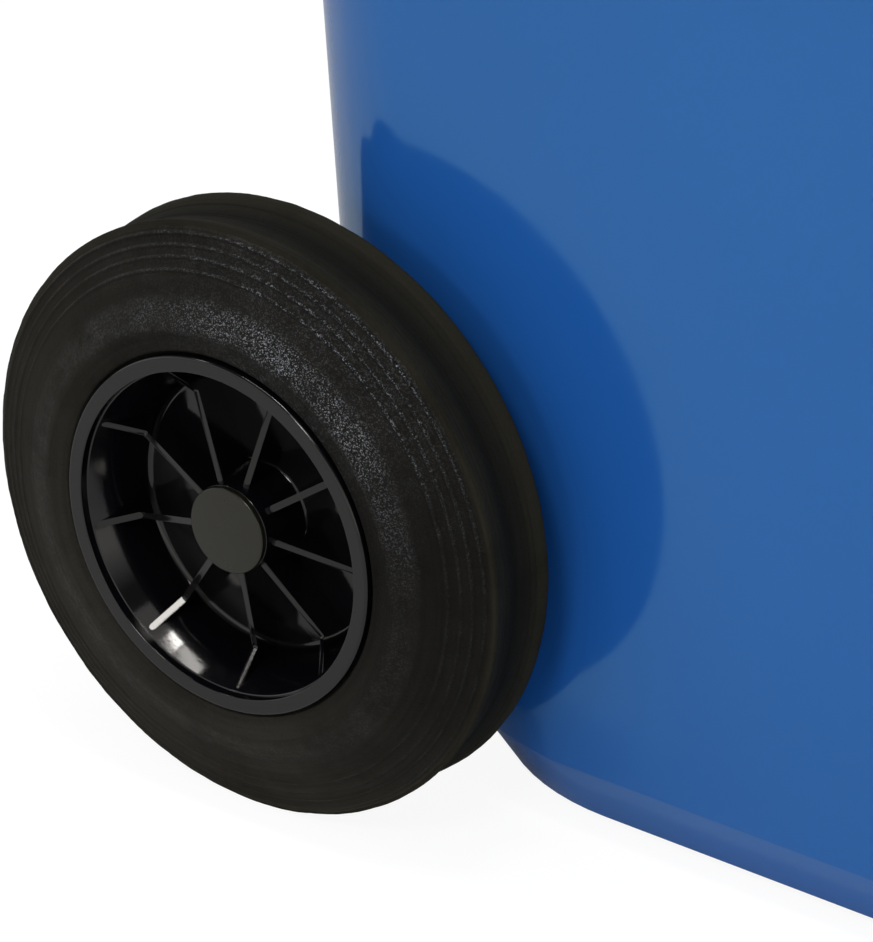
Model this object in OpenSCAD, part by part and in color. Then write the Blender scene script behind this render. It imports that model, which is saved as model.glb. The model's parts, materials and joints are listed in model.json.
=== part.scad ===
// Cool box on wheels: an insulated tub with a hinged lid, carried on two large wheels behind and
// two rubber feet in front, with a swinging tow handle in front and a lift handle behind.
// X runs forwards to the tow handle, Y to the left and Z up. The origin lies on the ground, in
// the middle of the overall length and width.

/* [Body] */
// Length of the body at its rim
body_l = 690; // [600:5:800]
// Width of the body at its rim
body_w = 406; // [360:2:470]
// Height of the body's rim above the ground
body_h = 405; // [370:5:470]
// Lean of the walls, which part upwards, in degrees
draft = 2.5; // [1:0.5:4]
// Radius of the upright corners
corner_r = 60; // [48:1:72]
// Radius of the lower rear corners, beside the wheels
heel_r = 78; // [66:1:90]
// Thickness of the moulded skins of body and lid
skin_t = 4; // [3:0.5:5]
// Gap between the ground and the base
base_gap = 3; // [2:0.5:8]
// Height of the sloping skirt round the foot of the walls
skirt_h = 20.5; // [14:0.5:28]
// How far the skirt draws in at the base
skirt_in = 9.5; // [6:0.5:13]
// Height of the upright band round the rim
band_h = 55; // [46:1:66]
// How far the band stands out from the walls
band_t = 4; // [3:0.5:6]

/* [Insulation and liner] */
// Thickness of the insulation in the walls
foam_t = 38; // [25:1:50]
// Thickness of the insulation in the floor
floor_foam_t = 30; // [22:1:45]
// Thickness of the liner
liner_t = 3; // [2:0.5:4]
// Radius of the liner's upright corners
liner_r = 36; // [24:1:44]
// Depth of the basket shelf below the rim
shelf_drop = 30; // [24:1:40]
// Width of the basket shelf
shelf_w = 8; // [6:1:10]
// Gap between pieces that seat in each other
seat_gap = 0.3; // [0.2:0.05:0.4]

/* [Lid] */
// Height of the lid
lid_h = 52; // [42:1:70]
// Gap between the lid and the rim below it
seam = 0.4; // [0.3:0.1:1]
// How far the lid's plug reaches down into the tub
plug_depth = 15; // [10:1:20]
// Gap between the lid's plug and the tub's mouth
plug_gap = 4; // [3:0.5:6]
// Radius of a cup holder
cup_r = 40; // [34:1:44]
// Depth of a cup holder
cup_depth = 12; // [8:1:16]
// Distance of a cup holder's centre from the lid's edges
cup_inset = 96; // [84:1:110]
// Width of the finger lip on the lid
lip_w = 150; // [110:5:200]
// How far the finger lip stands out
lip_out = 14; // [10:1:18]

/* [Wheels] */
// Diameter of a tyre
tyre_d = 200; // [180:2:216]
// Width of a wheel between its ring faces
wheel_w = 54; // [50:1:60]
// Gap between a wheel and the wall beside it, at the axle's height
wheel_gap = 3; // [2:0.5:8]
// Diameter of the ring face of the rim
ring_d = 120.4; // [114:0.4:126]
// Width of the ring face
ring_face = 5.4; // [4:0.2:7]
// Radius of the flat web inside the rim
web_r = 45; // [42:0.5:47]
// Thickness of the web
web_t = 5; // [4:0.5:8]
// Number of ribs on each face of the rim
rib_count = 9; // [6:1:12]
// Thickness of a rib
rib_t = 2.2; // [2:0.2:4]
// Direction of the first rib above the forward direction, in degrees
rib_start = 35; // [0:1:40]
// Radius of the hub cap
cap_r = 14.5; // [14:0.1:16]
// Depth of the hub cap's face behind the ring face
cap_depth = 5.5; // [4:0.5:7]

/* [Axle] */
// Diameter of the axle
axle_d = 20; // [16:0.5:20]
// Distance of the axle ahead of the rear wall, at the axle's height
axle_setback = 20; // [16:1:30]
// Distance from the axle's centre forwards to the recess wall
recess_front = 13; // [12.8:0.2:18]
// Distance from the axle's centre up to the recess ceiling
recess_top = 14; // [13:0.5:20]
// Radial clearance of a running fit
running_gap = 0.05; // [0.02:0.01:0.1]
// Width of an axle saddle
saddle_w = 40; // [34:1:50]
// Distance of an axle saddle in from the wall beside it
saddle_in = 45; // [40:1:80]

/* [Tow handle] */
// Diameter of the tow handle's tube
tow_tube_d = 19; // [16:0.5:22]
// Wall of the tube
tube_wall = 1.5; // [1.2:0.1:2.5]
// Distance between the legs of the tow handle
tow_span = 190; // [160:2:220]
// Length of the tow handle from its pivot to its grip
tow_l = 262; // [200:2:275]
// Distance of the tow handle's pivot ahead of the band
tow_out = 22; // [18:1:28]
// Diameter of the tow handle's grip
tow_grip_d = 30; // [26:1:34]
// Radius of the tow handle's bends
tow_bend = 36; // [26:1:45]

/* [Lift handle] */
// Diameter of the lift handle's rod
lift_rod_d = 12; // [10:0.5:14]
// Distance between the legs of the lift handle
lift_span = 150; // [130:2:180]
// Length of the lift handle from its pivot to its grip
lift_l = 84; // [70:1:110]
// Distance of the lift handle's pivot behind the band
lift_out = 18; // [16:1:24]
// Diameter of the lift handle's grip
lift_grip_d = 26; // [20:1:30]
// Radius of the lift handle's bends
lift_bend = 18; // [14:1:22]

/* [Hinges] */
// Distance of a hinge from the middle of the body
hinge_x = 190; // [120:5:220]
// Width of a hinge
hinge_w = 62; // [54:2:72]
// Diameter of a hinge pin
hinge_pin_d = 6; // [5:0.5:7]
// Distance of a hinge's axis behind the band
hinge_out = 7; // [6.6:0.2:9]
// Thickness of a hinge leaf
leaf_t = 4; // [3:0.5:5]

/* [Drain] */
// Height of the drain's centre above the ground
drain_z = 44; // [40:0.5:50]
// Radius of the trough in the tub's floor that leads to the drain
trough_r = 17; // [15.5:0.5:19]
// Length of the drain trough
trough_l = 70; // [40:5:120]
// Radius of the drain's bore
drain_r = 8; // [6:0.5:9]
// Outside diameter of the hose nipple
nipple_d = 26.4; // [24:0.2:27]
// Length of the hose nipple
nipple_l = 14; // [12:1:18]

/* [Basket] */
// Length of the basket
basket_l = 230; // [180:5:280]
// Depth of the basket
basket_d = 110; // [80:5:140]
// Thickness of the basket's walls
basket_t = 3; // [2:0.5:4]

/* [Feet and fasteners] */
// Diameter of a foot
foot_d = 46; // [40:1:60]
// Distance of a foot's centre in from the side wall
foot_in = 81; // [66:1:110]
// Distance of a foot behind the foot of the front wall
foot_back = 78; // [70:2:110]
// Diameter of a foot's stem
foot_stem_d = 10; // [8:0.5:14]
// Diameter of a screw's shank
screw_d = 4.8; // [4:0.2:5]
// Diameter of a screw's head
screw_head_d = 8.4; // [8:0.2:9]

/* [Hidden] */
$fn = 64;
// Segments of the corner rings that a hull spans
hull_fn = 56;
// How far a cut reaches past the face that it opens
over = 1;
lean = tan(draft);

// Overall place of the body: the tyres' backs and the tow grip's face are the two ends
tyre_r = tyre_d / 2;
axle_z = tyre_r;
axle_r = axle_d / 2;
tow_reach = tow_out + tow_grip_d / 2;
crease_z = base_gap + skirt_h;
rear_rim_x = (tyre_r - axle_setback - (body_h - axle_z) * lean - body_l - band_t - tow_reach) / 2;
front_rim_x = rear_rim_x + body_l;
function rear_x(z) = rear_rim_x + (body_h - z) * lean;
function front_x(z) = front_rim_x - (body_h - z) * lean;
function half_w(z) = body_w / 2 - (body_h - z) * lean;
// The skirt draws in below the crease
function skirt_at(z) = skirt_in * (crease_z - z) / skirt_h;
axle_x = rear_x(axle_z) + axle_setback;
heel_x = axle_x + recess_front;
recess_z = axle_z + recess_top;
ring_y = half_w(axle_z) + wheel_gap + wheel_w;

// Band round the rim, and what is fixed to it
band_low = body_h - band_h;
band_front_x = front_rim_x + band_t;
band_rear_x = rear_rim_x - band_t;
band_y = body_w / 2 + band_t;
band_mid_x = (front_rim_x + rear_rim_x) / 2;
band_l = body_l + 2 * band_t;
band_w = 2 * band_y;
band_r = corner_r + band_t;

// Liner
liner_in = skin_t + foam_t;
floor_z = base_gap + skin_t + floor_foam_t;
shelf_z = body_h - shelf_drop;
flange_t = 3;
flange_z = body_h + flange_t;
flange_in = 2;
floor_round = 8;
function liner_rear(z) = heel_x + liner_in - (z - floor_z) * lean;
function liner_front(z) = front_x(z) - liner_in;
function liner_half(z) = half_w(z) - liner_in;
mouth_rear = liner_rear(body_h) - shelf_w + liner_t;
mouth_front = liner_front(body_h) + shelf_w - liner_t;
mouth_half = liner_half(body_h) + shelf_w - liner_t;
mouth_r = liner_r + shelf_w - liner_t;
mouth_mid = (mouth_front + mouth_rear) / 2;
mouth_l = mouth_front - mouth_rear;

// Lid
lid_z = flange_z + seam;
lid_top = lid_z + lid_h;
lid_round = 14;
panel_z = lid_z + 2;
panel_t = 3;
panel_top = panel_z + panel_t;
panel_in = skin_t + seat_gap;
plug_z = flange_z - plug_depth;
plug_wall = 3;
gasket_w = 9;
gasket_out = 5;
gasket_seat = 1.5;
lip_h = 22;
lip_drop = 1.6;

// Wheel, along its own axis from the outer ring face inwards
wheel_mid = wheel_w / 2;
ring_r = ring_d / 2;
ring_in_r = ring_r - ring_face;
flange_lip = 2.5;
barrel_drop = 1;
barrel_r = ring_r - barrel_drop;
bowl_r = ring_in_r - 0.8;
bowl_d = 4;
web_d = wheel_mid - web_t / 2;
boss_r = cap_r + 0.1;
boss_foot_r = boss_r + 2;
cap_t = 2;
boss_d = cap_depth + cap_t;
boss_bore_r = axle_r + 3;
rib_foot_d = cap_depth + 4.5;
rib_knee_r = web_r - 1;
rib_knee_d = 15;
nut_d = boss_d + 5;
nut_t = 2.5;
bush_d = nut_d + nut_t + 1;
bush_flange_t = 2;
bush_flange_r = boss_foot_r - 1;
spacer_gap = 0.5;
spacer_wall = 2.3;
bead_gap = 0.8;
tread_dip = 3.4;

// Axle saddles
saddle_rim = 4;
saddle_leg_t = 5;
saddle_leg_h = 32;
saddle_y = half_w(axle_z) - saddle_in - saddle_w / 2;

// Handles, which pivot at the band's mid-height
pivot_z = body_h - band_h / 2;
pin_r = 4;
pin_head_r = 6.5;
pin_head_t = 2;
tow_tube_r = tow_tube_d / 2;
lift_rod_r = lift_rod_d / 2;
tow_x = band_front_x + tow_out;
lift_x = band_rear_x - lift_out;
plate_t = 4;
plate_h = 42;
ear_t = 5;
ear_r = 11;
ear_gap = 0.5;
tab_w = 15;
leg_top = 8;
eye_r = 9;
grip_gap = 0.1;
grip_end = 3;

// Hinges
hinge_places = [hinge_x, -hinge_x];
hinge_y = band_y + hinge_out;
hinge_z = flange_z + seam / 2;
knuckle_r = hinge_out - 1;
knuckle_gap = 0.4;
mid_knuckle = 0.4 * hinge_w;
leaf_gap = knuckle_r + 1;
leaf_h = lid_h - lid_round - leaf_gap - 1;
neck_gap = 1.5;

// Drain
drain_boss_out = 4;
drain_boss_r = 27;
drain_face_x = front_x(drain_z) + drain_boss_out;
washer_t = 1.5;
washer_r = 20;
drain_flange_t = 4;
drain_flange_r = 22;
drain_tube_r = drain_r + 4;
drain_seat_x = drain_face_x + washer_t;
nipple_x = drain_seat_x + drain_flange_t;
drain_end_x = nipple_x + nipple_l;
nut_face_x = liner_front(drain_z + trough_r) - liner_t;
drain_nut_r = trough_r - 1.5;
drain_nut_t = 5;
plug_l = 24;
plug_head_r = drain_r + 3.5;
plug_head_t = 3;
plug_bar_t = 5;
plug_bar_l = 9;
seal_back = 12;
seal_r = 1.1;

// Basket
basket_top = shelf_z + seat_gap;
basket_flange_t = 4;
basket_play = 1;
basket_clear = 5;
basket_low = basket_top + basket_flange_t - basket_d;
basket_half = liner_half(basket_low) - liner_t - basket_clear;
basket_rear = liner_rear(basket_low) + liner_t + basket_clear;
basket_r = liner_r - 6;
slot_w = 8;
slot_pitch = 18;

// Feet and fasteners
foot_x = front_x(crease_z) - skirt_in - foot_back;
foot_y = half_w(crease_z) - foot_in;
foot_barb_r = foot_stem_d / 2 + 2;
foot_barb_h = 4;
screw_r = screw_d / 2;
screw_head_r = screw_head_d / 2;
head_t = 2.6;
hole_r = screw_r + 0.1;
bite = skin_t - 0.5;
band_bite = skin_t + band_t - 1.5;

// Where each screw's head meets its plate
leaf_screw_x = hinge_w / 2 - 10;
leaf_screw_z = leaf_gap + leaf_h / 2;
tow_tab_y = tow_tube_r + ear_gap + ear_t + tab_w / 2;
lift_tab_y = lift_rod_r + ear_gap + ear_t + tab_w / 2;
saddle_screw_y = saddle_w / 2 - 9;
saddle_screw_z = axle_z - axle_r - saddle_rim - saddle_leg_h / 2;
base_screw_spots = [for (x = hinge_places, s = [-1, 1])
  [x + s * leaf_screw_x, band_y + leaf_t, hinge_z - leaf_screw_z]];
strap_screw_spots = [for (x = hinge_places, s = [-1, 1])
  [x + s * leaf_screw_x, band_y + leaf_t, hinge_z + leaf_screw_z]];
tow_screw_spots = [for (side = [-1, 1], s = [-1, 1], up = [-1, 1])
  [band_front_x + plate_t, side * tow_span / 2 + s * tow_tab_y, pivot_z + up * plate_h / 4]];
lift_screw_spots = [for (side = [-1, 1], s = [-1, 1], up = [-1, 1])
  [band_rear_x - plate_t, side * lift_span / 2 + s * lift_tab_y, pivot_z + up * plate_h / 4]];
saddle_screw_spots = [for (side = [-1, 1], s = [-1, 1])
  [heel_x - saddle_leg_t, side * saddle_y + s * saddle_screw_y, saddle_screw_z]];

// Turns that face a piece built along Z towards a side of the box
face_front = [0, 90, 0];
face_rear = [0, -90, 0];
face_left = [-90, 0, 0];

// ---------------------------------------------------------------- shared shapes

// Four rings at the corners of a plan at height z, for a hull to span: each is the base of a low
// cone that stays inside the hull, upwards or, at the hull's top, downwards
module corner_rings(z, x0, x1, half, r0, r1, into = 1) {
  for (side = [-1, 1]) {
    translate([x0 + r0, side * (half - r0), z]) ring_cone(r0, into);
    translate([x1 - r1, side * (half - r1), z]) ring_cone(r1, into);
  }
}

module ring_cone(r, into) {
  mirror([0, 0, (1 - into) / 2]) cylinder(h = over, r1 = r, r2 = r / 2, $fn = hull_fn);
}

// Upright block with round corners, centred on the origin in X and Y
module round_block(l, w, r, h) {
  linear_extrude(height = h) {
    square([l - 2 * r, w], center = true);
    square([l, w - 2 * r], center = true);
    for (x = [-1, 1], y = [-1, 1]) translate([x * (l / 2 - r), y * (w / 2 - r)]) circle(r = r);
  }
}

// The body's outer form drawn in by inset, from the height low up to the height high
module body_form(inset, low, high) {
  foot = inset + skirt_at(low);
  hull() {
    corner_rings(low, heel_x + foot, front_x(crease_z) - foot, half_w(crease_z) - foot,
      heel_r - inset, corner_r - inset);
    corner_rings(crease_z, heel_x + inset, front_x(crease_z) - inset, half_w(crease_z) - inset,
      heel_r - inset, corner_r - inset);
    corner_rings(recess_z, rear_x(recess_z) + inset, front_x(recess_z) - inset,
      half_w(recess_z) - inset, corner_r - inset, corner_r - inset);
    corner_rings(high, rear_x(high) + inset, front_x(high) - inset, half_w(high) - inset,
      corner_r - inset, corner_r - inset, -1);
  }
}

// The recess for the axle across the lower rear edge, grown by a skin
module axle_recess(grow) {
  reach = body_w + 2 * over;
  translate([rear_rim_x - over, -reach / 2, -over])
    cube([heel_x + grow - rear_rim_x + over, reach, recess_z + grow + over]);
}

// The liner's form below its shelf, drawn in by inset, with a rounded edge round its floor
module liner_form(inset, low, high) {
  r = liner_r - inset;
  foot = inset + floor_round;
  hull() {
    corner_rings(low, liner_rear(low) + foot, liner_front(low) - foot, liner_half(low) - foot,
      r - floor_round, r - floor_round);
    corner_rings(low + floor_round, liner_rear(low) + inset, liner_front(low) - inset,
      liner_half(low) - inset, r, r);
    corner_rings(high, liner_rear(high) + inset, liner_front(high) - inset,
      liner_half(high) - inset, r, r, -1);
  }
}

// The wider mouth above the shelf, grown outwards from the liner's inner face
module mouth_form(grow, low, high) {
  translate([mouth_mid, 0, low])
    round_block(mouth_l + 2 * grow, 2 * (mouth_half + grow), mouth_r + grow, high - low);
}

// The lid's outer form drawn in by inset, with a rounded upper edge
module lid_form(inset, low) {
  hull() {
    corner_rings(low, band_rear_x + inset, band_front_x - inset, band_y - inset,
      band_r - inset, band_r - inset);
    for (turn = [0:30:90]) {
      draw = inset + lid_round * (1 - cos(turn));
      z = lid_top - inset - lid_round * (1 - sin(turn));
      corner_rings(z, band_rear_x + draw, band_front_x - draw, band_y - draw,
        band_r - draw, band_r - draw, -1);
    }
  }
}

// Upright discs of radius r at the four cup holders, from the height low to the height high
module cup_discs(r, low, high) {
  for (x = [band_rear_x + cup_inset, band_front_x - cup_inset], y = [-1, 1])
    translate([x, y * (band_y - cup_inset), low]) cylinder(h = high - low, r = r);
}

// Shaft or bore along Y, centred on the origin
module across(len, r) {
  rotate([90, 0, 0]) cylinder(h = len, r = r, center = true);
}

// Shaft or bore along X, from x0 to x1
module along(x0, x1, r) {
  translate([x0, 0, 0]) rotate(face_front) cylinder(h = x1 - x0, r = r);
}

// Pan-head screw: its head sits on the plane z = 0 and its shank runs down
module screw(len) {
  difference() {
    union() {
      cylinder(h = head_t, r = screw_head_r);
      translate([0, 0, -len]) cylinder(h = len + over, r = screw_r);
    }
    for (turn = [0, 90]) rotate(turn)
      translate([-screw_r, -0.5, head_t / 2]) cube([screw_d, 1, head_t]);
  }
}

// Hole for a screw: down from the plane z = 0 through a plate and on into what is behind it
module screw_hole(len) {
  translate([0, 0, -len]) cylinder(h = len + over, r = hole_r);
}

// Puts its children at each spot of a list, turned to face a direction
module at_spots(spots, turn) {
  for (spot = spots) translate(spot) rotate(turn) children();
}

// Mirrors its children, which are built on the left, for the right side
module on_side(side) {
  if (side > 0) children();
  else mirror([0, 1, 0]) children();
}

// ---------------------------------------------------------------- body

module outer_shell() {
  color("#3a6ea8") difference() {
    union() {
      difference() {
        body_form(0, base_gap, body_h);
        axle_recess(0);
      }
      translate([band_mid_x, 0, band_low]) round_block(band_l, band_w, band_r, band_h);
      translate([0, 0, drain_z]) along(front_x(drain_z) - skin_t, drain_face_x, drain_boss_r);
    }
    difference() {
      body_form(skin_t, base_gap + skin_t, body_h + over);
      axle_recess(skin_t);
    }
    drain_hole();
    at_spots(base_screw_spots, face_left) screw_hole(leaf_t + band_bite);
    at_spots(tow_screw_spots, face_front) screw_hole(plate_t + band_bite);
    at_spots(lift_screw_spots, face_rear) screw_hole(plate_t + band_bite);
    at_spots(saddle_screw_spots, face_rear) screw_hole(saddle_leg_t + bite);
    for (side = [-1, 1]) translate([foot_x, side * foot_y, 0])
      cylinder(h = base_gap + skin_t + over, r = foot_stem_d / 2 + seat_gap);
  }
}

// Hole for the drain's tube through both skins and the insulation between them
module drain_hole() {
  translate([0, 0, drain_z]) along(nut_face_x - over, drain_face_x + over, drain_tube_r + seat_gap);
}

module foam_core() {
  gap = skin_t + seat_gap;
  color("#e8dcb0") difference() {
    body_form(gap, base_gap + gap, body_h - seat_gap);
    axle_recess(gap);
    liner_form(-seat_gap, floor_z - seat_gap, body_h + over);
    mouth_form(liner_t + seat_gap, shelf_z - liner_t - seat_gap, body_h + over);
    trough(liner_t + seat_gap);
    drain_hole();
    for (side = [-1, 1]) translate([foot_x, side * foot_y, 0])
      cylinder(h = base_gap + skin_t + foot_barb_h + 2 * seat_gap, r = foot_barb_r + seat_gap);
  }
}

// The drain trough in the tub's floor, grown by grow, with its flat seat for the drain nut
module trough(grow) {
  translate([0, 0, drain_z]) along(nut_face_x - trough_l - grow, nut_face_x + grow, trough_r + grow);
}

module inner_liner() {
  color("#eceae4") difference() {
    union() {
      liner_form(0, floor_z, body_h);
      mouth_form(liner_t, shelf_z - liner_t, body_h);
      translate([band_mid_x, 0, body_h])
        round_block(band_l - 2 * flange_in, band_w - 2 * flange_in, band_r - flange_in, flange_t);
      trough(liner_t);
    }
    liner_form(liner_t, floor_z + liner_t, body_h);
    mouth_form(0, shelf_z, flange_z + over);
    trough(0);
    drain_hole();
  }
}

module foot(side) {
  color("#2b2b2a") translate([foot_x, side * foot_y, 0]) {
    cylinder(h = base_gap, r = foot_d / 2);
    cylinder(h = base_gap + skin_t + foot_barb_h, r = foot_stem_d / 2);
    translate([0, 0, base_gap + skin_t + seat_gap])
      cylinder(h = foot_barb_h, r1 = foot_barb_r, r2 = foot_stem_d / 2);
  }
}

// ---------------------------------------------------------------- lid

module lid_shell() {
  lip = [
    [band_y - over, lid_z + lip_drop], [band_y + lip_out - 4, lid_z + lip_drop],
    [band_y + lip_out, lid_z + lip_drop + 4], [band_y + lip_out, lid_z + lip_h / 2],
    [band_y + over / 2, lid_z + lip_h], [band_y - over, lid_z + lip_h]
  ];
  color("#3a6ea8") difference() {
    union() {
      lid_form(0, lid_z);
      rotate([90, 0, -90]) translate([0, 0, -lip_w / 2]) linear_extrude(height = lip_w) polygon(lip);
    }
    difference() {
      lid_form(skin_t, lid_z - over);
      cup_discs(cup_r + skin_t, lid_top - cup_depth - skin_t, lid_top);
    }
    cup_discs(cup_r, lid_top - cup_depth, lid_top + over);
    at_spots(strap_screw_spots, face_left) screw_hole(leaf_t + bite);
  }
}

module lid_foam() {
  gap = seat_gap;
  color("#e8dcb0") difference() {
    union() {
      lid_form(skin_t + gap, panel_top);
      plug_block(plug_wall + gap, plug_z + plug_wall + gap, panel_top + over);
    }
    cup_discs(cup_r + skin_t + gap, lid_top - cup_depth - skin_t - gap, lid_top);
  }
}

// The block that fills the tub's mouth, drawn in by inset
module plug_block(inset, low, high) {
  draw = plug_gap + inset;
  translate([mouth_mid, 0, low])
    round_block(mouth_l - 2 * draw, 2 * (mouth_half - draw), mouth_r - draw, high - low);
}

// Block round the mouth, for the two edges of the seal
module seal_block(out, low, high) {
  translate([mouth_mid, 0, low])
    round_block(mouth_l + 2 * out, 2 * (mouth_half + out), mouth_r + out, high - low);
}

// Closed ring of the seal
module seal_ring(low, high) {
  difference() {
    seal_block(gasket_out + gasket_w, low, high);
    seal_block(gasket_out, low - over, high + over);
  }
}

module lid_panel() {
  color("#eceae4") difference() {
    union() {
      translate([band_mid_x, 0, panel_z])
        round_block(band_l - 2 * panel_in, band_w - 2 * panel_in, band_r - panel_in, panel_t);
      plug_block(0, plug_z, panel_top);
    }
    plug_block(plug_wall, plug_z + plug_wall, panel_top + over);
    seal_ring(panel_z - over, panel_z + gasket_seat);
  }
}

module lid_gasket() {
  color("#8f8f8c") seal_ring(flange_z + seat_gap, panel_z + gasket_seat);
}

// ---------------------------------------------------------------- hinges

// Upper leaf of a hinge, about the hinge's own axis: a plate with a knuckle over each span
module hinge_leaf(spans) {
  difference() {
    union() {
      translate([-hinge_w / 2, -hinge_out, leaf_gap]) cube([hinge_w, leaf_t, leaf_h]);
      for (span = spans) {
        along(span[0], span[1], knuckle_r);
        translate([span[0], -hinge_out, neck_gap])
          cube([span[1] - span[0], hinge_out, leaf_gap + over - neck_gap]);
      }
    }
    along(-hinge_w, hinge_w, hinge_pin_d / 2 + running_gap);
  }
}

// Lower leaf, on the body's band
module hinge_base(x) {
  color("#26292c") difference() {
    translate([x, hinge_y, hinge_z]) mirror([0, 0, 1]) hinge_leaf([[-mid_knuckle / 2, mid_knuckle / 2]]);
    at_spots(base_screw_spots, face_left) screw_hole(leaf_t + over);
  }
}

// Upper leaf, on the lid
module hinge_strap(x) {
  inner = mid_knuckle / 2 + knuckle_gap;
  outer = hinge_w / 2;
  color("#26292c") difference() {
    translate([x, hinge_y, hinge_z]) hinge_leaf([[-outer, -inner], [inner, outer]]);
    at_spots(strap_screw_spots, face_left) screw_hole(leaf_t + over);
  }
}

module hinge_pin(x) {
  head_r = hinge_pin_d / 2 + 1.5;
  color("#b9bcbf") translate([x, hinge_y, hinge_z]) {
    along(-hinge_w / 2 - 1, hinge_w / 2 + 1, hinge_pin_d / 2);
    for (end = [-1, 1]) translate([end * (hinge_w / 2 + 1), 0, 0]) along(-0.7, 0.7, head_r);
  }
}

// ---------------------------------------------------------------- wheels

// Puts a wheel piece, built along its axis from the outer ring face inwards, on a side
module on_axle(side) {
  on_side(side) translate([axle_x, ring_y, axle_z]) mirror([0, 1, 0]) rotate(face_left) children();
}

// The same outline on both faces of the wheel: the points of the outer half, then their mirror image
function both_faces(half) =
  concat(half, [for (i = [len(half) - 1:-1:0]) [half[i][0], wheel_w - half[i][1]]]);

module rim_profile() {
  bowl = [for (turn = [90:-15:0])
    [web_r + (bowl_r - web_r) * cos(turn), bowl_d + (web_d - bowl_d) * sin(turn)]];
  polygon(both_faces(concat(
    [[boss_bore_r, boss_d], [boss_r, boss_d], [boss_foot_r, web_d]],
    bowl,
    [[ring_in_r, bowl_d - 0.5], [ring_in_r, 0], [ring_r, 0], [ring_r, flange_lip],
      [barrel_r, flange_lip + barrel_drop]]
  )));
}

module rib_profile() {
  polygon(both_faces([[boss_r - 1, rib_foot_d], [rib_knee_r, rib_knee_d],
    [ring_in_r + 1, flange_lip + 0.2], [ring_in_r + 2, web_d]]));
}

module wheel_rim(side) {
  color("#1d1e1c") on_axle(side) {
    rotate_extrude() rim_profile();
    for (i = [0:rib_count - 1]) rotate([90, 0, -rib_start - i * 360 / rib_count])
      translate([0, 0, -rib_t / 2]) linear_extrude(height = rib_t) rib_profile();
  }
}

// Sidewall and shoulder of the tyre: shares of the sidewall's height, and depths from the ring face
sidewall = [[0.04, 0.9], [0.12, 0.9], [0.196, 0], [0.347, 1.6], [0.497, 4], [0.698, 8],
  [0.874, 11], [0.96, 12.6], [1, 14.6], [0.985, 16.2]];

module tyre_profile() {
  seat_d = flange_lip + barrel_drop;
  height = tyre_r - ring_r - bead_gap;
  base_r = ring_r + bead_gap;
  tread = [for (turn = [60:-20:20])
    [tyre_r - tread_dip * cos(turn), wheel_mid - (wheel_mid - 17) * sin(turn)]];
  polygon(both_faces(concat(
    [[barrel_r + seat_gap, seat_d + seat_gap], [base_r, flange_lip + seat_gap], [base_r, 1.6]],
    [for (p = sidewall) [base_r + height * p[0], p[1]]],
    tread
  )));
}

module tyre(side) {
  color("#2b2a27") on_axle(side) rotate_extrude() tyre_profile();
}

module hub_bush(side) {
  color("#d8d4c8") on_axle(side) difference() {
    union() {
      translate([0, 0, bush_d])
        cylinder(h = wheel_w - boss_d - bush_d + over, r = boss_bore_r - running_gap);
      translate([0, 0, wheel_w - boss_d]) cylinder(h = bush_flange_t, r = bush_flange_r);
    }
    cylinder(h = wheel_w, r = axle_r + running_gap);
  }
}

module hub_cap(side) {
  skirt_r = boss_bore_r - running_gap;
  color("#2f2e2a") on_axle(side) {
    translate([0, 0, cap_depth]) cylinder(h = cap_t, r = cap_r);
    translate([0, 0, boss_d - over]) difference() {
      cylinder(h = nut_d - boss_d - 0.5 + over, r = skirt_r);
      translate([0, 0, over]) cylinder(h = nut_d, r = skirt_r - 1.6);
    }
  }
}

module push_nut(side) {
  color("#b9bcbf") on_axle(side) translate([0, 0, nut_d]) difference() {
    cylinder(h = nut_t, r = boss_bore_r - 0.6);
    translate([0, 0, -over]) cylinder(h = nut_t + 2 * over, r = axle_r + running_gap);
  }
}

module axle() {
  color("#a9acae") translate([axle_x, 0, axle_z]) across(2 * (ring_y - nut_d), axle_r);
}

module axle_spacer(side) {
  start = saddle_y + saddle_w / 2;
  length = ring_y - (wheel_w - boss_d + bush_flange_t + spacer_gap) - start;
  color("#2b2d2f") translate([axle_x, side * (start + length / 2), axle_z]) difference() {
    across(length, axle_r + spacer_wall);
    across(length + 2 * over, axle_r + running_gap);
  }
}

module axle_saddle(side) {
  reach = axle_r + saddle_rim;
  color("#26292c") difference() {
    translate([0, side * saddle_y - saddle_w / 2, 0]) {
      translate([axle_x - reach, 0, axle_z - reach])
        cube([reach + recess_front, saddle_w, reach + recess_top]);
      translate([heel_x - saddle_leg_t, 0, axle_z - reach - saddle_leg_h])
        cube([saddle_leg_t, saddle_w, saddle_leg_h + over]);
    }
    translate([axle_x, 0, axle_z]) across(2 * ring_y, axle_r + running_gap);
    at_spots(saddle_screw_spots, face_rear) screw_hole(saddle_leg_t + over);
  }
}

// ---------------------------------------------------------------- handles

// Clevis that stands out along X from its plate to the pivot, for a leg of the given radius
module clevis(out, leg_r) {
  inner = leg_r + ear_gap;
  half = inner + ear_t + tab_w;
  difference() {
    union() {
      translate([0, -half, -plate_h / 2]) cube([plate_t, 2 * half, plate_h]);
      for (side = [-1, 1]) translate([0, side * (inner + ear_t / 2), 0]) {
        translate([0, -ear_t / 2, -ear_r]) cube([out, ear_t, 2 * ear_r]);
        translate([out, 0, 0]) across(ear_t, ear_r);
      }
    }
    translate([out, 0, 0]) across(2 * half, pin_r + running_gap);
  }
}

// Pivot pin with a head at each end, for a clevis round a leg of the given radius
module pivot_pin(leg_r) {
  half = leg_r + ear_gap + ear_t;
  across(2 * half + pin_head_t, pin_r);
  for (side = [-1, 1]) translate([0, side * (half + pin_head_t / 2), 0]) across(pin_head_t, pin_head_r);
}

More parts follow.
